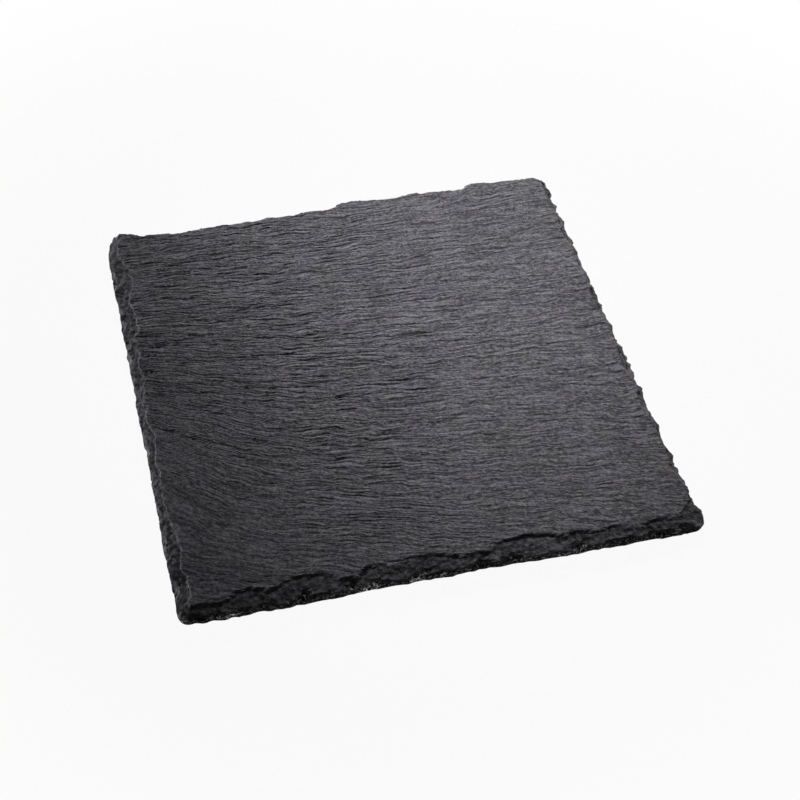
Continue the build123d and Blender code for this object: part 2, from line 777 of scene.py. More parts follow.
class NodeSheet:
    """A material and short calls that add nodes to it."""

    def __init__(self, name: str) -> None:
        """Start an empty material.

        Args:
            name: name of the material.
        """
        self.material = bpy.data.materials.new(name)
        self.material.use_nodes = True
        self.tree = self.material.node_tree
        self.tree.nodes.clear()

    def add(
        self, kind: str, inputs: dict[str | int, object] | None = None, **settings: object
    ) -> bpy.types.Node:
        """Add a node, set its options, and set or join its inputs.

        Args:
            kind: the node's type name.
            inputs: value or socket for each input, by name or index.
            settings: options of the node itself.

        Returns:
            The new node.
        """
        node = self.tree.nodes.new(kind)
        for option, value in settings.items():
            setattr(node, option, value)
        for key, value in (inputs or {}).items():
            if isinstance(value, Socket):
                self.tree.links.new(value, node.inputs[key])
            else:
                node.inputs[key].default_value = value
        return node

    def attribute(self, name: str, output: str = "Fac") -> Socket:
        """Read one of the mesh's own attributes."""
        return self.add("ShaderNodeAttribute", attribute_name=name).outputs[output]

    def object_place(self) -> Socket:
        """Give the place on the object, in metres."""
        return self.add("ShaderNodeTexCoord").outputs["Object"]

    def place(self) -> Socket:
        """Give the place on the object, in millimetres."""
        return self.scaled(self.object_place(), (1 / MM,) * 3)

    def scaled(self, vector: Socket, factors: Triple) -> Socket:
        """Stretch a vector by one factor for each axis."""
        return self.add("ShaderNodeVectorMath", {0: vector, 1: factors}, operation="MULTIPLY").outputs[0]

    def maths(self, operation: str, first: object, second: object) -> Socket:
        """Work out one sum of two values, kept between 0 and 1."""
        inputs = {0: first, 1: second}
        return self.add("ShaderNodeMath", inputs, operation=operation, use_clamp=True).outputs[0]

    def noise(self, place: Socket, layer: Speckle) -> Socket:
        """Give a fractal noise.

        Args:
            place: where it is read, in millimetres.
            layer: its size and detail.

        Returns:
            Values of about 0 to 1.
        """
        vector = self.scaled(place, layer.scale)
        inputs = {"Vector": vector, "Scale": 1.0, "Detail": layer.detail, "Roughness": layer.roughness}
        return self.add("ShaderNodeTexNoise", inputs).outputs["Fac"]

    def spread(self, noise: Socket, layer: Speckle) -> Socket:
        """Spread a noise over 0 to 1 between its own limits."""
        return self.ramp(noise, layer.low, layer.high)

    def patches(self, place: Socket, layer: Speckle) -> Socket:
        """Give a fractal noise over a place, spread between its own limits."""
        return self.spread(self.noise(place, layer), layer)

    def cells(self, place: Socket, scale: Triple) -> Socket:
        """Give the distance to the nearest of scattered cell middles."""
        inputs = {"Vector": self.scaled(place, scale), "Scale": 1.0}
        return self.add("ShaderNodeTexVoronoi", inputs).outputs["Distance"]

    def map_range(self, value: Socket, low: float, high: float) -> Socket:
        """Spread a 0 to 1 value over another range."""
        return self.add("ShaderNodeMapRange", {"Value": value, "To Min": low, "To Max": high}).outputs[0]

    def ramp(self, value: Socket, low: float, high: float) -> Socket:
        """Rise smoothly from 0 at low to 1 at high."""
        inputs = {"Value": value, "From Min": low, "From Max": high}
        return self.add("ShaderNodeMapRange", inputs, interpolation_type="SMOOTHSTEP").outputs[0]

    def blend(self, first: Socket, second: Socket, share: float) -> Socket:
        """Mix two values by a fixed share of the second."""
        return self.add("ShaderNodeMix", {0: share, 2: first, 3: second}).outputs[0]

    def mix_colour(
        self, share: Socket, first: Socket | Triple, second: Socket | Triple, how: Blend = Blend.MIX
    ) -> Socket:
        """Put one colour over another.

        Args:
            share: how much of the second colour is put on.
            first: colour below.
            second: colour above.
            how: way to put it on.

        Returns:
            The mixed colour.
        """
        colours = [(*c, 1.0) if isinstance(c, tuple) else c for c in (first, second)]
        inputs = {0: share, 6: colours[0], 7: colours[1]}
        return self.add("ShaderNodeMix", inputs, data_type="RGBA", blend_type=how.value).outputs[2]

    def bump(self, value: Socket, height: float, strength: object, before: Socket | None = None) -> Socket:
        """Tilt the surface by a height.

        Args:
            value: value of 0 to 1.
            height: what a value of 1 stands for, in millimetres.
            strength: how much of the tilt is kept.
            before: normal that is already tilted, if any.

        Returns:
            The tilted normal.
        """
        inputs = {"Height": value, "Distance": height * MM, "Strength": strength}
        if before is not None:
            inputs["Normal"] = before
        return self.add("ShaderNodeBump", inputs).outputs["Normal"]

    def surface(self, inputs: dict[str, object]) -> None:
        """Close the material with one shader."""
        shader = self.add("ShaderNodeBsdfPrincipled", inputs)
        self.add("ShaderNodeOutputMaterial", {"Surface": shader.outputs[0]})


@dataclass(frozen=True)
class SlateFinish:
    """Dark riven slate with blacker fresh breaks along its edges.

    Attributes:
        deep: colour in the furrows of the cleft face.
        crest: colour on the ridges of the cleft face.
        veil: faint colour that lies over the cleft face in patches.
        speck: how dark the finest grain of the cleft face is.
        broken: colour of the flake scars.
        shades: darkest and palest share of that colour.
        rust: brown tint of weathered chips.
        bruise: colour of worn edges of the scars.
        dust_and_painted_light: pale patches low on the scars, partly powdered stone and partly painted light
            on facets that the light catches.
        painted_crevice_shade: near-black painted shade between those patches.
        painted_glint: colour of the painted glints, pale specks at the foot of the scars that also reflect as
            metal.
        roughness: lowest and highest roughness.
        specular: strength of its reflections.
        tone: values of the mixed noises that show as furrow and as ridge.
        mottled: share of the mottling beside the streaks.
        flecked: share of the flecks beside both.
        streaks: lines along the grain.
        mottling: slow changes of tone.
        flecks: short flecks along the grain, which are also more and less rough.
        veils: patches of the veil.
        grit: finest grain.
        chips: light and dark breaks in the scars.
        painted_foot_patches: pale patches of painted light, partly powdered stone, among the painted shade
            low on the scars.
        painted_glint_specks: where the painted glints lie in that band.
        crumple: fine ridges along the grain.
        strata: edges of layers in the scars.
        facets: size of small facets in the scars, in cells to the millimetre.
        facet_height: height of these.
        painted_foot_heights: height where the band of painted shade and light starts, and where it is whole.
    """

    deep: Triple = (0.0640, 0.0628, 0.0700)
    crest: Triple = (0.1830, 0.1795, 0.1920)
    veil: Triple = (0.985, 0.965, 1.03)
    speck: Triple = (0.65, 0.65, 0.65)
    broken: Triple = (0.080, 0.080, 0.086)
    shades: Span = (0.2, 1.25)
    rust: Triple = (0.105, 0.086, 0.070)
    bruise: Triple = (0.24, 0.24, 0.245)
    dust_and_painted_light: Triple = (0.62, 0.62, 0.625)
    painted_crevice_shade: Triple = (0.012, 0.012, 0.013)
    painted_glint: Triple = (0.80, 0.80, 0.80)
    roughness: Span = (0.40, 0.58)
    specular: float = 0.01
    tone: Span = (0.41, 0.59)
    mottled: float = 0.15
    flecked: float = 0.56
    streaks: Speckle = Speckle((0.08, 0.75, 1.0), 5.0, 0.62)
    mottling: Speckle = Speckle((0.045, 0.045, 0.045), 3.0, 0.55)
    flecks: Speckle = Speckle((0.6, 1.2, 1.0), 3.0, 0.68)
    veils: Speckle = Speckle((0.09, 0.09, 0.09), 2.0, 0.5, low=0.42, high=0.62)
    grit: Speckle = Speckle((1.1, 1.1, 1.1), 2.0, 0.6, low=0.35, high=0.65, height=0.42)
    chips: Speckle = Speckle((0.5, 0.5, 1.6), 4.0, 0.65, low=0.3, high=0.7)
    painted_foot_patches: Speckle = Speckle((1.0, 1.0, 1.0), 2.0, 0.6, low=0.52, high=0.64)
    painted_glint_specks: Speckle = Speckle((0.9, 0.9, 0.6), 3.0, 0.6, low=0.49, high=0.63)
    crumple: Speckle = Speckle((0.09, 0.85, 1.0), 2.0, 0.5, height=1.6)
    strata: Speckle = Speckle((0.35, 0.35, 1.8), 4.0, 0.65, height=0.5)
    facets: Triple = (0.42, 0.42, 0.6)
    facet_height: float = 0.7
    painted_foot_heights: Span = (6.2, 4.4)

    def material(self) -> bpy.types.Material:
        """Make the slate's material from the mesh's grain, riven, scar, rust and wear, its band of painted
        foot shade and its painted glints.

        Returns:
            The material.
        """
        sheet = NodeSheet("riven_slate")
        grain, scar, place = sheet.attribute("grain", "Vector"), sheet.attribute("scar"), sheet.place()

        # Cleft face
        flecks, grit = sheet.noise(grain, self.flecks), sheet.noise(place, self.grit)
        slow = sheet.blend(sheet.noise(grain, self.streaks), sheet.noise(place, self.mottling), self.mottled)
        tone = sheet.ramp(sheet.blend(slow, flecks, self.flecked), *self.tone)
        cleft = sheet.mix_colour(tone, self.deep, self.crest)
        cleft = sheet.mix_colour(sheet.patches(place, self.veils), cleft, self.veil, Blend.MULTIPLY)
        cleft = sheet.mix_colour(sheet.spread(grit, self.grit), cleft, self.speck, Blend.MULTIPLY)

        # Scars, with weathered chips and worn edges
        darker, paler = (tuple(share * c for c in self.broken) for share in self.shades)
        fresh = sheet.mix_colour(sheet.patches(place, self.chips), darker, paler)
        stone = sheet.mix_colour(scar, cleft, fresh)
        stone = sheet.mix_colour(sheet.attribute("rust"), stone, self.rust)
        stone = sheet.mix_colour(sheet.attribute("wear"), stone, self.bruise)

        # Band at the foot of the scars: near-black painted shade, with pale patches of painted light that are
        # partly powdered stone
        height = sheet.add("ShaderNodeSeparateXYZ", {0: place}).outputs[2]
        low = sheet.maths("MULTIPLY", sheet.attribute("painted_foot_band"), sheet.ramp(height, *self.painted_foot_heights))
        painted_foot_patches = sheet.mix_colour(sheet.patches(place, self.painted_foot_patches), self.painted_crevice_shade, self.dust_and_painted_light)
        stone = sheet.mix_colour(low, stone, painted_foot_patches)
        # Painted glints: pale specks, metallic as well, at the given places along the foot of the front scars
        painted_glint_mask = sheet.maths("MULTIPLY", sheet.patches(place, self.painted_glint_specks), sheet.attribute("painted_glint"))
        painted_glint_mask = sheet.maths("MULTIPLY", painted_glint_mask, low)
        stone = sheet.mix_colour(painted_glint_mask, stone, self.painted_glint)

        riven = sheet.maths("MULTIPLY", sheet.attribute("riven"), sheet.maths("SUBTRACT", 1.0, scar))
        bump = sheet.bump(sheet.noise(grain, self.crumple), self.crumple.height, riven)
        bump = sheet.bump(grit, self.grit.height, 1.0, bump)
        bump = sheet.bump(sheet.noise(place, self.strata), self.strata.height, scar, bump)
        bump = sheet.bump(sheet.cells(place, self.facets), self.facet_height, scar, bump)
        sheet.surface({
            "Base Color": stone,
            "Metallic": painted_glint_mask,
            "Roughness": sheet.map_range(flecks, *self.roughness),
            "Specular IOR Level": self.specular,
            "Normal": bump,
        })
        return sheet.material


@dataclass(frozen=True)
class FoamFinish:
    """Black closed-cell foam with fine pores.

    Attributes:
        skin: colour of the foam.
        pore_shade: painted shade in the open cells, darker than the skin.
        roughness: roughness of the foam.
        specular: strength of its reflections.
        cells: cells in a millimetre along each axis.
        pores: distances from a cell's middle where the open cell ends and the skin starts, in cells.
        depth: depth of an open cell.
    """

    skin: Triple = (0.020, 0.020, 0.021)
    pore_shade: Triple = (0.008, 0.008, 0.008)
    roughness: float = 0.88
    specular: float = 0.25
    cells: Triple = (3.0, 3.0, 3.0)
    pores: Span = (0.05, 0.45)
    depth: float = 0.06

    def material(self) -> bpy.types.Material:
        """Make the foam's material, with painted shade where its cells are open.

        Returns:
            The material.
        """
        sheet = NodeSheet("eva_foam")
        cells = sheet.cells(sheet.place(), self.cells)
        sheet.surface({
            "Base Color": sheet.mix_colour(sheet.ramp(cells, *self.pores), self.pore_shade, self.skin),
            "Roughness": self.roughness,
            "Specular IOR Level": self.specular,
            "Normal": sheet.bump(cells, self.depth, 1.0),
        })
        return sheet.material


@dataclass(frozen=True)
class TapeFinish:
    """Cream double-sided tape with a faint fibre.

    Attributes:
        film: colour of the film.
        fibre: colour of its fibres.
        roughness: roughness of the film.
        fibres: fibres that run one way.
    """

    film: Triple = (0.74, 0.72, 0.64)
    fibre: Triple = (0.60, 0.57, 0.48)
    roughness: float = 0.42
    fibres: Speckle = Speckle((0.5, 4.0, 4.0), 3.0, 0.6, low=0.35, high=0.65, height=0.01)

    def material(self) -> bpy.types.Material:
        """Make the tape's material: fibres through a paler film.

        Returns:
            The material.
        """
        sheet = NodeSheet("tape_film")
        fibres = sheet.noise(sheet.place(), self.fibres)
        sheet.surface({
            "Base Color": sheet.mix_colour(sheet.spread(fibres, self.fibres), self.film, self.fibre),
            "Roughness": self.roughness,
            "Normal": sheet.bump(fibres, self.fibres.height, 1.0),
        })
        return sheet.material


def white_share(tree: bpy.types.NodeTree) -> Socket:
    """Tell the rays that see the white studio from those that carry its light.

    Args:
        tree: nodes of a material or of the world.

    Returns:
        1 for those that see it, and 0 for the others.
    """
    path = tree.nodes.new("ShaderNodeLightPath")
    share = path.outputs[Ray.CAMERA.value]
    for ray in (Ray.GLOSSY, Ray.TRANSMISSION):
        either = tree.nodes.new("ShaderNodeMath")
        either.operation = "MAXIMUM"
        tree.links.new(share, either.inputs[0])
        tree.links.new(path.outputs[ray.value], either.inputs[1])
        share = either.outputs[0]
    return share


@dataclass(frozen=True)
class TableFinish:
    """White table that shows the board's shadow near it.

    Attributes:
        tone: grey of the table for the light that falls on it.
        white: how much of what the camera sees near the board is plain white.
        fade: distances from the middle between which the rest turns white as well.
    """

    tone: float = 0.4
    white: float = 0.94
    fade: Span = (140.0, 340.0)

    def material(self) -> bpy.types.Material:
        """Make the table's material: a grey that takes the light, mixed with a white that the camera sees.

        Returns:
            The material.
        """
        sheet = NodeSheet("white_table")
        plain = sheet.add("ShaderNodeBsdfDiffuse", {"Color": (self.tone,) * 3 + (1.0,)})
        white = sheet.add("ShaderNodeEmission", {"Color": WHITE, "Strength": 1.0})
        away = sheet.add("ShaderNodeVectorMath", {0: sheet.object_place()}, operation="LENGTH")
        near, far = (distance * MM for distance in self.fade)
        limits = {"From Min": near, "From Max": far, "To Min": self.white, "To Max": 1.0}
        whiter = sheet.add(
            "ShaderNodeMapRange", {"Value": away.outputs["Value"]} | limits, interpolation_type="SMOOTHSTEP"
        )
        share = sheet.maths("MULTIPLY", white_share(sheet.tree), whiter.outputs[0])
        both = sheet.add("ShaderNodeMixShader", {0: share, 1: plain.outputs[0], 2: white.outputs[0]})
        sheet.add("ShaderNodeOutputMaterial", {"Surface": both.outputs[0]})
        return sheet.material


@dataclass
class SlateSlab:
    """The slab of slate, as one closed surface.

    The top is a grid of two parameters: its plan is stretched between the four ragged sides, and its
    height is the lower of the riven face and the flake scars. A wall of broken stone goes down from its
    border to a riven underside of a quarter as many rows and columns.

    Attributes:
        bottom: height of the underside.
        top: height of the top face.
        half_side: half the board's side.
        feet: plan places of the feet, where the underside is level.
        foot_radius: radius of a foot.
        skew: how far the front and back sides run out of square at each end.
        border: width of the finely divided band along the sides.
        border_step: spacing of the grid in that band.
        step_steep: spacing of the columns inside it as far as the grain runs steeply, on the left.
        steep_width: width of that part.
        step_along: spacing of the columns in the rest.
        step_across: spacing of the rows inside the band.
        stride: rows and columns of the top for each of the underside.
        wall_rows: rows of quads down the wall.
        dub: how far a corner is drawn in, over its radius.
        riven_by: how many times as high as their own heights the ripples of the top are.
        least: least height of the wall.
        draft: how far the wall's foot is drawn in.
        inset: how far the underside's border lies inside the wall's foot.
        sharp: angle from which an edge is sharp, in degrees.
        run: way that the grain runs.
        finish: finish of the stone.
    """

    bottom: float
    top: float
    half_side: float
    feet: Array
    foot_radius: float
    skew: float = 1.2
    border: float = 9.6
    border_step: float = 0.34
    step_steep: float = 1.35
    steep_width: float = 70.0
    step_along: float = 2.1
    step_across: float = 0.40
    stride: int = 4
    wall_rows: int = 5
    dub: float = 0.29
    riven_by: float = 1.95
    least: float = 0.25
    draft: float = 0.12
    inset: float = 0.9
    sharp: float = 38.0
    run: Grain = Grain()
    finish: SlateFinish = SlateFinish()

    def corners(self) -> Array:
        """Give the four corners in plan before they are dubbed off, anticlockwise from the front left."""
        h, k = self.half_side, self.skew
        return np.array([[-h, -h + k], [h, -h - k], [h, h + k], [-h, h - k]])

    def rims(self) -> list[Rim]:
        """Give the four runs of the rim.

        Returns:
            One run for each side, in order.
        """
        corners = self.corners()
        runs = np.roll(corners, -1, 0) - corners
        lengths = np.hypot(*runs.T)
        return [Rim(corner, run / length, length) for corner, run, length in zip(corners, runs, lengths)]

    @staticmethod
    def ends(side: Side) -> tuple[CornerFlake, CornerFlake]:
        """Give the scars across the first and the last corner of a side."""
        return CORNER_FLAKES[side.value], CORNER_FLAKES[(side.value + 1) % len(CORNER_FLAKES)]

    def balls(self) -> list[Ball]:
        """Give the balls that cut all the scars.

        Returns:
            Those along each side with their chips, then those across the corners.
        """
        found = []
        for side, rim in zip(Side, self.rims()):
            struck = list(rim.row_of_balls(FLAKE_ROWS[side]))
            found += struck + list(rim.chips(FLAKE_ROWS[side], struck, CHIP_SEED + side.value))
        for corner, flake in zip(self.corners(), CORNER_FLAKES):
            across = np.array([-corner[1], corner[0]]) / np.hypot(*corner)
            found.append(Rim(corner, across, 0.0).ball(0.0, flake.width, flake.setback, flake.depth))
        return found

    def side_curve(self, side: Side, share: Array) -> Array:
        """Give points along one side of the lower rim, from corner to corner.

        The run is straight, drawn in at both ends along a parabola where the corner is dubbed off, and
        moved out by lumps with sharp notches between them, which fade at the corners.

        Args:
            side: which side.
            share: place along the side, 0 to 1.

        Returns:
            One plan point for each share.
        """
        rim, flakes, lumps = self.rims()[side.value], self.ends(side), Lumps(side)
        first, last = (flake.radius for flake in flakes)
        s = self.dub * first + share * (rim.length - self.dub * (first + last))
        inset, whole = np.zeros_like(s), np.ones_like(s)
        for flake, reach in zip(flakes, (s, rim.length - s)):
            drawn = self.dub * flake.radius
            inset += drawn * np.clip((flake.radius - reach) / (flake.radius * (1 - self.dub)), 0.0, 1.0) ** 2
            whole *= smooth_step(drawn, drawn + lumps.fade + lumps.calm_fade * flake.calm, reach)
        inset -= FLAKE_ROWS[side].ragged * whole * lumps.at(s)
        return rim.start + s[:, None] * rim.along + inset[:, None] * rim.inward

    def steps(self) -> Array:
        """Find the sharp steps of the back side.

        Returns:
            Shares along the front where columns of the grid follow them, two for each step.
        """
        swells = FLAKE_ROWS[Side.BACK].swells
        places = [(swell.fall, swell.end) for swell in swells if swell.end - swell.fall < self.step_along]
        first, last = (self.dub * flake.radius for flake in self.ends(Side.BACK))
        return 1 - (np.ravel(places) - first) / (self.rims()[Side.BACK.value].length - first - last)

    def spacing(self, *runs: Span) -> Array:
        """Give shares from 0 to 1 along a side, close together in the border at both ends.

        Args:
            runs: (length, spacing) of each run inside the border, in order; the last fills what is left.

        Returns:
            Rising shares, with a whole number of the underside's strides in each run.
        """
        side = 2 * self.half_side
        ends = np.cumsum([self.border] + [length for length, _ in runs[:-1]])
        marks = np.concatenate([[0.0], ends, [side - self.border, side]])
        steps = [self.border_step] + [step for _, step in runs] + [self.border_step]
        parts = []
        for start, end, step in zip(marks, marks[1:], steps):
            count = self.stride * round((end - start) / step / self.stride)
            parts.append(np.linspace(start, end, count, endpoint=False))
        return np.append(np.concatenate(parts), side) / side

    def plan(self) -> Array:
        """Give the plan of the top's grid.

        Each point is what the front and back sides give, plus what the left and right sides give, less
        what the four corners give, each in proportion to how near the point is.

        Returns:
            Plan points by row from front to back, and column from left to right.
        """
        inside = 2 * (self.half_side - self.border)
        steep, rest = (self.steep_width, self.step_steep), (inside - self.steep_width, self.step_along)
        u = np.sort(np.concatenate([self.spacing(steep, rest), self.steps()]))
        v = self.spacing((inside, self.step_across))
        front, back = self.side_curve(Side.FRONT, u), self.side_curve(Side.BACK, 1 - u)
        right, left = self.side_curve(Side.RIGHT, v), self.side_curve(Side.LEFT, 1 - v)
        u, v = u[None, :, None], v[:, None, None]
        sides = (1 - v) * front[None] + v * back[None] + (1 - u) * left[:, None] + u * right[:, None]
        near = (1 - u) * front[0] + u * front[-1]
        far = (1 - u) * back[0] + u * back[-1]
        return sides - ((1 - v) * near + v * far)

    def swollen(self, plan: Array) -> Array:
        """Move plan points straight out of each side by its swells.

        Args:
            plan: plan points.

        Returns:
            The moved points.
        """
        moved = plan.copy()
        for side, rim in zip(Side, self.rims()):
            moved -= rim.swell_at(FLAKE_ROWS[side], plan[..., 0], plan[..., 1])[..., None] * rim.inward
        return moved

    @staticmethod
    def riven(x: Array, y: Array) -> Array:
        """Give how riven the top is: less to the right, to the front and at the front left corner."""
        return CALM_RIGHT.at(x) * CALM_FRONT.at(-y) * CALM_CORNER.at(-x - y)

    def relief(self, x: Array, y: Array) -> Array:
        """Give the height of the cleft top above its mean plane.

        Args:
            x: plan coordinate to the right.
            y: plan coordinate to the back.

        Returns:
            A broad sag and the ripples of the grain.
        """
        along, across = self.run.at(x, y)
        ripples = sum(ripple.at(along, across) for ripple in TOP_RIPPLES)
        return TOP_SAG.at(x, y) + self.riven_by * self.riven(x, y) * ripples

    @staticmethod
    def steep(x: Array, y: Array) -> Array:
        """Give 1 on the right and at the back, where scars are steep and weathered, and 0 on other sides."""
        return smooth_step(*STEEP_FROM, x + y)

    def scars(self, x: Array, y: Array) -> Array:
        """Give how far the flake scars reach below the top face.

        The deepest ball counts, and its depth is roughened. What is left is a gentle slope and the risers
        where layers of slate broke off, each a smooth step at its own depth, which wanders.

        Args:
            x: plan coordinate to the right.
            y: plan coordinate to the back.

        Returns:
            Depths in millimetres, negative where no scar reaches.
        """
        facet_mean, facet_height = 0.26, 0.8
        slope, steep_slope, steep_start = 0.20, 0.6, 0.2
        rough_from, crumbly_from = (-1.5, 0.8), (3.0, 4.5)
        depth = np.max([ball.depth_at(x, y) for ball in self.balls()], axis=0)
        facets = facet_height * (np.abs(SCAR_FACETS.at(x, y)) - facet_mean)
        rough = SCAR_LUMPS.at(x, y) + facets + SCAR_GRIT.at(x, y)
        for corner, flake in zip(self.corners(), CORNER_FLAKES):
            away = (x - corner[0]) ** 2 + (y - corner[1]) ** 2
            rough = rough * (1 - flake.calm * np.exp(-away / CALM_REACH**2))
        depth = depth + rough * smooth_step(*rough_from, depth)
        crumble = sum(ripple.at(x, y) for ripple in SCAR_CRUMBS) * smooth_step(*crumbly_from, depth)
        shelf = slope * depth + sum(riser.at(x, y, depth) for riser in RISERS) + crumble
        return np.where(depth < 0.0, depth, shelf + (steep_slope * depth - steep_start) * self.steep(x, y))

    def underside(self, x: Array, y: Array) -> Array:
        """Give the height of the cleft underside, level at the feet.

        Args:
            x: plan coordinate to the right.
            y: plan coordinate to the back.

        Returns:
            Heights in millimetres in the board's frame.
        """
        level, whole = self.foot_radius + 0.5, self.foot_radius + 7.0
        gaps = np.min([np.hypot(x - fx, y - fy) for fx, fy in self.feet], axis=0)
        relief = sum(ripple.at(x, y) for ripple in UNDER_RIPPLES)
        return self.bottom + relief * smooth_step(level, whole, gaps)

    def wall(self, ring: Array) -> Array:
        """Give the wall of broken stone below the top's border.

        Its rows lie between the border and the underside straight below, and are moved in and out by
        dents, most of all half way down.

        Args:
            ring: border of the top, anticlockwise.

        Returns:
            Points by row downwards, without the border itself, and by place round it.
        """
        around = np.concatenate([[0.0], np.cumsum(np.hypot(*np.diff(ring[:, :2], axis=0).T))])
        foot = ring.copy()
        foot[:, 2] = self.underside(foot[:, 0], foot[:, 1])
        fall = np.linspace(0, 1, self.wall_rows + 1)[1:, None]
        wall = ring[None] * (1 - fall[..., None]) + foot[None] * fall[..., None]
        chord = np.roll(ring[:, :2], -1, 0) - np.roll(ring[:, :2], 1, 0)
        outward = np.stack([chord[:, 1], -chord[:, 0]], -1) / np.hypot(*chord.T)[:, None]
        dents = WALL_DENTS.at(around[None], wall[..., 2]) * np.sin(pi * fall) - self.draft * fall
        wall[..., :2] += dents[..., None] * outward[None]
        return wall

    def strip(self, foot: Array, rim: Array) -> Array:
        """Join the wall's foot to the underside's border, which has one point for each stride of the foot.

        Args:
            foot: vertex indices of the foot, anticlockwise.
            rim: vertex indices of the border, anticlockwise.

        Returns:
            Triangles in fans from each point of the border, and one between each two fans.
        """
        half, after = self.stride // 2, np.roll(rim, -1)
        lower, ahead = (np.roll(foot, -n).reshape(-1, self.stride) for n in (0, 1))
        nearest = np.where(np.arange(self.stride) < half, rim[:, None], after[:, None])
        fans = np.stack([lower, nearest, ahead], -1).reshape(-1, 3)
        return np.concatenate([fans, np.stack([lower[:, half], rim, after], -1)])

    def build(self) -> bpy.types.Object:
        """Make the slab's mesh with its attributes and material.

        Returns:
            The slab, riding on the board's one body in place of its CAD solid.
        """
        struck = self.plan()
        scars = self.scars(struck[..., 0], struck[..., 1])
        plan = self.swollen(struck)
        x, y = plan[..., 0], plan[..., 1]
        relief = self.relief(x, y)
        heights = np.maximum(np.minimum(self.top + relief, self.top - scars), self.bottom + self.least)
        top = np.dstack([x, y, heights])
        wall = self.wall(rim_of(top))
        inner = plan[::self.stride, ::self.stride] * (1 - self.inset / self.half_side)
        under = np.dstack([inner, self.underside(inner[..., 0], inner[..., 1])])

        parts = (top, wall, under)
        points = np.concatenate([part.reshape(-1, 3) for part in parts])
        starts = np.cumsum([0] + [part[..., 0].size for part in parts])
        runs = (np.arange(start, end) for start, end in zip(starts, starts[1:]))
        top_index, wall_index, under_index = (run.reshape(part.shape[:2]) for run, part in zip(runs, parts))
        bands = np.vstack([rim_of(top_index)[None], wall_index])
        bands = np.hstack([bands, bands[:, :1]])[::-1]
        quads = [grid_quads(top_index), grid_quads(bands), grid_quads(under_index)[:, ::-1]]
        strip = self.strip(wall_index[-1], rim_of(under_index))
        slab = mesh_object("slate", points, np.concatenate(quads), strip)

        fresh = smooth_step(*FRESH_FROM, scars + relief).ravel()
        scar = np.concatenate([fresh, np.ones(wall_index.size), np.zeros(under_index.size)])
        wear = self.wear(x, y, heights, scars).ravel()
        self.store_attributes(slab, points, scar, np.pad(wear, (0, len(points) - wear.size)))
        slab.data.shade_smooth()
        slab.data.set_sharp_from_angle(angle=radians(self.sharp))
        slab.data.materials.append(self.finish.material())
        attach(slab, BODY)
        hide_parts("slate_slab")
        return slab

    @staticmethod
    def wear(x: Array, y: Array, heights: Array, scars: Array) -> Array:
        """Give how bruised the stone is: edges that stand above their neighbours, in patches near the scars.

        Args:
            x: plan coordinate to the right.
            y: plan coordinate to the back.
            heights: heights of the top's grid.
            scars: depths of the scars.

        Returns:
            Values from 0 for whole stone to 1 for bruised, higher along the left side.
        """
        stands_from, patches_from, near_scars = (0.05, 0.25), (0.0, 0.5), (-0.8, -0.1)
        bruised, left_bruised, left_from = 0.25, 0.15, (-80.0, -92.0)
        reach = 2
        framed = np.pad(heights, reach, mode="edge")
        here, before, after = slice(reach, -reach), slice(None, -2 * reach), slice(2 * reach, None)
        beside = framed[here, before] + framed[here, after] + framed[before, here] + framed[after, here]
        stands = smooth_step(*stands_from, heights - beside / 4)
        patches = smooth_step(*patches_from, WEAR_PATCHES.at(x, y))
        strength = bruised + left_bruised * smooth_step(*left_from, x)
        return stands * patches * smooth_step(*near_scars, scars) * strength

    def store_attributes(self, slab: bpy.types.Object, points: Array, scar: Array, wear: Array) -> None:
        """Keep on the mesh what its material reads.

        Args:
            slab: the slab's object.
            points: its vertices in millimetres.
            scar: 1 for each vertex on a fresh break, 0 on a cleft face.
            wear: how bruised each vertex is.
        """
        # Where the band of painted shade and light lies: a little on all sides, most on the front, least
        # where the scars are steep
        weathered, foot_band_least, foot_band_front, front_from = 0.6, 0.1, 0.9, (-8.0, 8.0)
        rust, rust_from = 0.4, (0.05, 0.55)
        x, y = points[:, 0], points[:, 1]
        steep = self.steep(x, y)
        scar = scar * (1 - weathered * steep)
        painted_foot_band = scar * (foot_band_least + foot_band_front * smooth_step(*front_from, x - y) * (1 - steep))
        rusty = rust * smooth_step(*rust_from, RUST_PATCHES.at(x, y))
        glints = [share * np.exp(-(((x - place) / reach) ** 2)) for place, reach, share in PAINTED_GLINT_PLACES]
        attributes = slab.data.attributes
        grain = np.stack([*self.run.at(x, y), points[:, 2]], -1).astype(np.float32)
        attributes.new("grain", "FLOAT_VECTOR", "POINT").data.foreach_set("vector", grain.ravel())
        for name, values in {
            "riven": self.riven(x, y),
            "scar": scar,
            "painted_foot_band": painted_foot_band,
            "painted_glint": np.max(glints, axis=0),
            "wear": wear,
            "rust": rusty * RUST_FADE.at(self.half_side - np.maximum(x, y)),
        }.items():
            attributes.new(name, "FLOAT", "POINT").data.foreach_set("value", values.astype(np.float32))


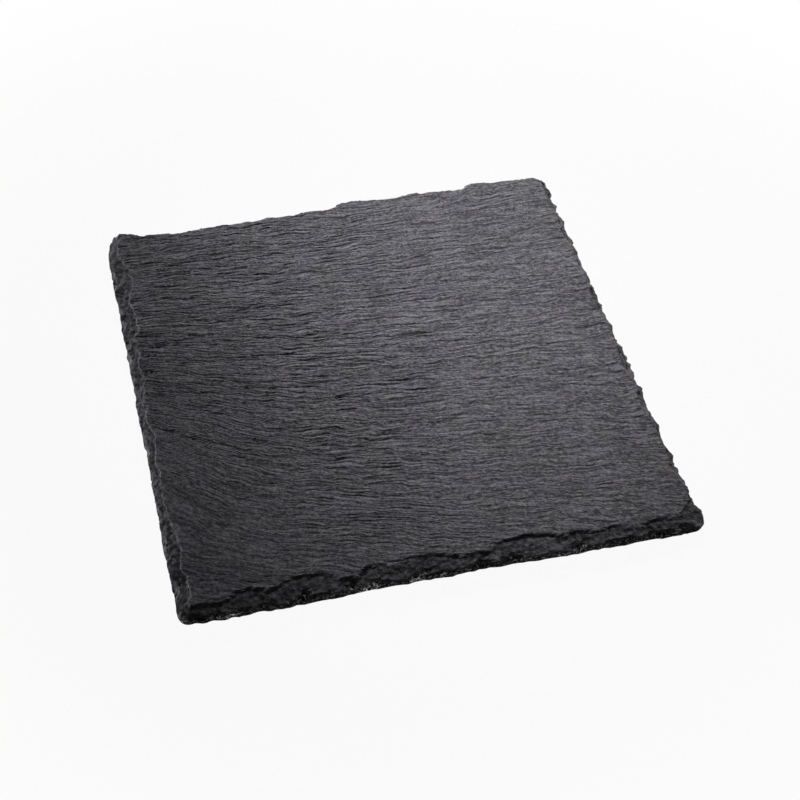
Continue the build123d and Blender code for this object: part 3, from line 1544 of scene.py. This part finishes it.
@dataclass
class Foot:
    """One foam foot and the tape that holds it under a corner.

    Attributes:
        corner: which corner.
        bulge: how far the foam swells at half height.
        edge: radius of its edges.
        turns: points round it.
        edge_points: points of the profile round an edge.
        side_points: points of the profile up the side, with both ends.
        face_points: points of the profile across a face, with the edge's first.
        hub: radius of the first ring of a face, over that of the face.
    """

    corner: Corner
    bulge: float = 0.18
    edge: float = 0.4
    turns: int = 72
    edge_points: int = 5
    side_points: int = 7
    face_points: int = 6
    hub: float = 0.15

    @property
    def node(self) -> str:
        """Name of the foot's CAD solid."""
        return f"foot_pad_{self.corner.value}"

    def place(self) -> tuple[Array, Array]:
        """Give the lowest and highest corner of the foot's CAD solid, in millimetres."""
        low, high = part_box(self.node)
        return np.array(low) / MM, np.array(high) / MM

    def profile(self, radius: float, height: float) -> Array:
        """Give the half outline of the foot from its bottom middle to its top middle.

        Rings across the bottom, a quarter round, a side that swells along a sine, a quarter round, and
        rings back to the middle of the top.

        Args:
            radius: radius of the foot.
            height: height of the foot.

        Returns:
            Rows of (distance from the axis, height).
        """
        turn = np.linspace(0, pi / 2, self.edge_points)
        side = np.linspace(0, 1, self.side_points)[1:-1]
        flat = np.linspace(self.hub, 1, self.face_points)[:-1]
        inner = radius - self.edge - self.bulge
        lower = np.stack([inner + self.edge * np.sin(turn), self.edge * (1 - np.cos(turn))], -1)
        upper = np.stack([lower[::-1, 0], height - lower[::-1, 1]], -1)
        swell = np.stack([
            inner + self.edge + self.bulge * np.sin(pi * side),
            self.edge + (height - 2 * self.edge) * side,
        ], -1)
        base = np.stack([flat * inner, np.zeros_like(flat)], -1)
        crown = np.stack([flat[::-1] * inner, np.full_like(flat, height)], -1)
        return np.vstack([base, lower, swell, upper, crown])

    def build(self, foam: bpy.types.Material) -> bpy.types.Object:
        """Turn the profile about the foot's axis and close it at both middles.

        Args:
            foam: material of the foot.

        Returns:
            The foot, riding on the board's one body in place of its CAD solid.
        """
        low, high = self.place()
        middle, radius, height = (low + high) / 2, (high[0] - low[0]) / 2, high[2] - low[2]
        profile = self.profile(radius, height)
        angle = np.linspace(0, 2 * pi, self.turns, endpoint=False)
        rings = np.dstack([
            middle[0] + profile[:, :1] * np.cos(angle),
            middle[1] + profile[:, :1] * np.sin(angle),
            np.repeat(low[2] + profile[:, 1:], self.turns, 1),
        ])
        index = np.arange(rings.shape[0] * self.turns).reshape(-1, self.turns)
        closed = np.hstack([index, index[:, :1]])
        below, above = index.size, index.size + 1
        ends = np.array([[middle[0], middle[1], low[2]], [middle[0], middle[1], high[2]]])
        caps = np.concatenate([
            np.stack([np.full(self.turns, below), closed[0, 1:], closed[0, :-1]], -1),
            np.stack([np.full(self.turns, above), closed[-1, :-1], closed[-1, 1:]], -1),
        ])
        points = np.vstack([rings.reshape(-1, 3), ends])
        foot = mesh_object(f"foam_foot_{self.corner.value}", points, grid_quads(closed), caps)
        foot.data.shade_smooth()
        foot.data.materials.append(foam)
        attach(foot, BODY)
        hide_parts(self.node)
        return foot

    def dress_tape(self, nodes: dict[str, bpy.types.Object], tape: bpy.types.Material) -> bpy.types.Object:
        """Give the CAD disc of tape its finish.

        Args:
            nodes: the CAD solids by name.
            tape: material of the tape.

        Returns:
            The disc.
        """
        disc = nodes[f"adhesive_disc_{self.corner.value}"]
        for held in disc.material_slots:
            held.material = tape
        return disc


@dataclass(frozen=True)
class Lamp:
    """One soft box.

    Attributes:
        name: what the lamp does.
        place: where it stands.
        aim: what it points at.
        size: width and height of its face.
        power: watts.
        spread: angle that its face shines over, in degrees.
        shines: whether its face is mirrored in what it lights.
        roll: turn of its face about the line to its aim, in degrees.
    """

    name: str
    place: Triple
    aim: Triple
    size: Span
    power: float
    spread: float
    shines: bool = True
    roll: float = 0.0

    def build(self) -> bpy.types.Object:
        """Make the area lamp and turn it to its aim.

        Returns:
            The lamp, linked to the scene.
        """
        data = bpy.data.lights.new(self.name, "AREA")
        data.shape = "RECTANGLE"
        data.size, data.size_y = (length * MM for length in self.size)
        data.energy = self.power
        data.spread = radians(self.spread)
        lamp = bpy.data.objects.new(self.name, data)
        place, aim = Vector(self.place) * MM, Vector(self.aim) * MM
        lamp.location = place
        lamp.rotation_euler = facing(aim - place, self.roll)
        lamp.visible_glossy = self.shines
        bpy.context.scene.collection.objects.link(lamp)
        return lamp


@dataclass
class Studio:
    """The white table, the light and the camera.

    Attributes:
        floor_radius: radius of the table.
        floor_rings: radii of its rings, over its own.
        floor_turns: points round it.
        table: finish of the table.
        ambient: strength of the even light from all round.
        azimuth: camera's turn about the board, in degrees.
        elevation: camera's height above the table, in degrees.
        distance: camera's distance from what it points at.
        roll: camera's roll, in degrees.
        lens: focal length.
        clip: nearest and furthest distance that the camera sees.
        target: what the camera points at.
        lamps: the lamps.
    """

    floor_radius: float = 1600.0
    floor_rings: tuple[float, ...] = (0.1, 0.25, 0.5, 1.0)
    floor_turns: int = 48
    table: TableFinish = TableFinish()
    ambient: float = 0.06
    azimuth: float = -17.016
    elevation: float = 49.904
    distance: float = 611.6
    roll: float = 3.346
    lens: float = 68.976
    clip: Span = (10.0, 20000.0)
    target: Triple = (1.953, -18.833, 7.7)
    lamps: tuple[Lamp, ...] = (
        Lamp("key", (160, 715, 516), (63, 96, 8), (247, 226), power=0.379, spread=17.5, roll=-34.4),
        Lamp("side", (-480, 40, 16), (-100, 0, 5), (160, 20), power=0.270, spread=60, shines=False),
    )

    def build_floor(self) -> bpy.types.Object:
        """Make the white table: rings of a disc, level at height 0.

        Returns:
            The table.
        """
        radii = self.floor_radius * np.array(self.floor_rings)[:, None]
        angle = np.linspace(0, 2 * pi, self.floor_turns, endpoint=False)[None]
        disc = np.dstack([radii * np.cos(angle), radii * np.sin(angle), np.zeros_like(radii * angle)])
        index = 1 + np.arange(disc[..., 0].size).reshape(disc.shape[:2])
        closed = np.hstack([index, index[:, :1]])
        middle = np.stack([np.zeros(self.floor_turns, int), closed[0, :-1], closed[0, 1:]], -1)
        points = np.vstack([np.zeros((1, 3)), disc.reshape(-1, 3)])
        floor = mesh_object("table", points, grid_quads(closed)[:, ::-1], middle)
        floor.data.materials.append(self.table.material())
        return floor

    def build_world(self) -> None:
        """Light the studio evenly from all round, and show it white."""
        world = bpy.data.worlds.new("studio")
        world.use_nodes = True
        tree = world.node_tree
        back = tree.nodes["Background"]
        back.inputs["Color"].default_value = WHITE
        strength = tree.nodes.new("ShaderNodeMapRange")
        strength.inputs["To Min"].default_value = self.ambient
        strength.inputs["To Max"].default_value = 1.0
        tree.links.new(white_share(tree), strength.inputs["Value"])
        tree.links.new(strength.outputs[0], back.inputs["Strength"])
        bpy.context.scene.world = world

    def build_camera(self) -> bpy.types.Object:
        """Stand the camera where the picture was taken from.

        It looks at the target from its azimuth and elevation, then rolls about its own axis.

        Returns:
            The scene's camera.
        """
        a, e = radians(self.azimuth), radians(self.elevation)
        back = Vector((sin(a) * cos(e), -cos(a) * cos(e), sin(e)))
        data = bpy.data.cameras.new("camera")
        data.lens = self.lens
        data.clip_start, data.clip_end = (distance * MM for distance in self.clip)
        camera = bpy.data.objects.new("camera", data)
        camera.location = (Vector(self.target) + back * self.distance) * MM
        camera.rotation_euler = facing(-back, self.roll)
        bpy.context.scene.collection.objects.link(camera)
        bpy.context.scene.camera = camera
        return camera

    def build(self) -> None:
        """Make the table, the light and the camera."""
        self.build_floor()
        self.build_world()
        for lamp in self.lamps:
            lamp.build()
        self.build_camera()
        bpy.context.scene.view_settings.view_transform = "Standard"


def main() -> None:
    """Build the board round its CAD frame, then the studio."""
    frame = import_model()
    logging.basicConfig(level=logging.INFO, format="%(message)s")

    feet = [Foot(corner) for corner in Corner]
    places = [foot.place() for foot in feet]
    low, high = (np.array(corner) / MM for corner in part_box("slate_slab"))
    slab = SlateSlab(
        bottom=low[2],
        top=high[2],
        half_side=high[0],
        feet=np.array([(lowest + highest)[:2] / 2 for lowest, highest in places]),
        foot_radius=(places[0][1][0] - places[0][0][0]) / 2,
    )
    piece = slab.build()
    LOG.info("%s: %d faces", piece.name, len(piece.data.polygons))

    foam, tape = FoamFinish().material(), TapeFinish().material()
    for foot in feet:
        LOG.info("%s on %s", foot.build(foam).name, foot.dress_tape(frame["nodes"], tape).name)

    Studio().build()


if __name__ == "__main__":
    main()
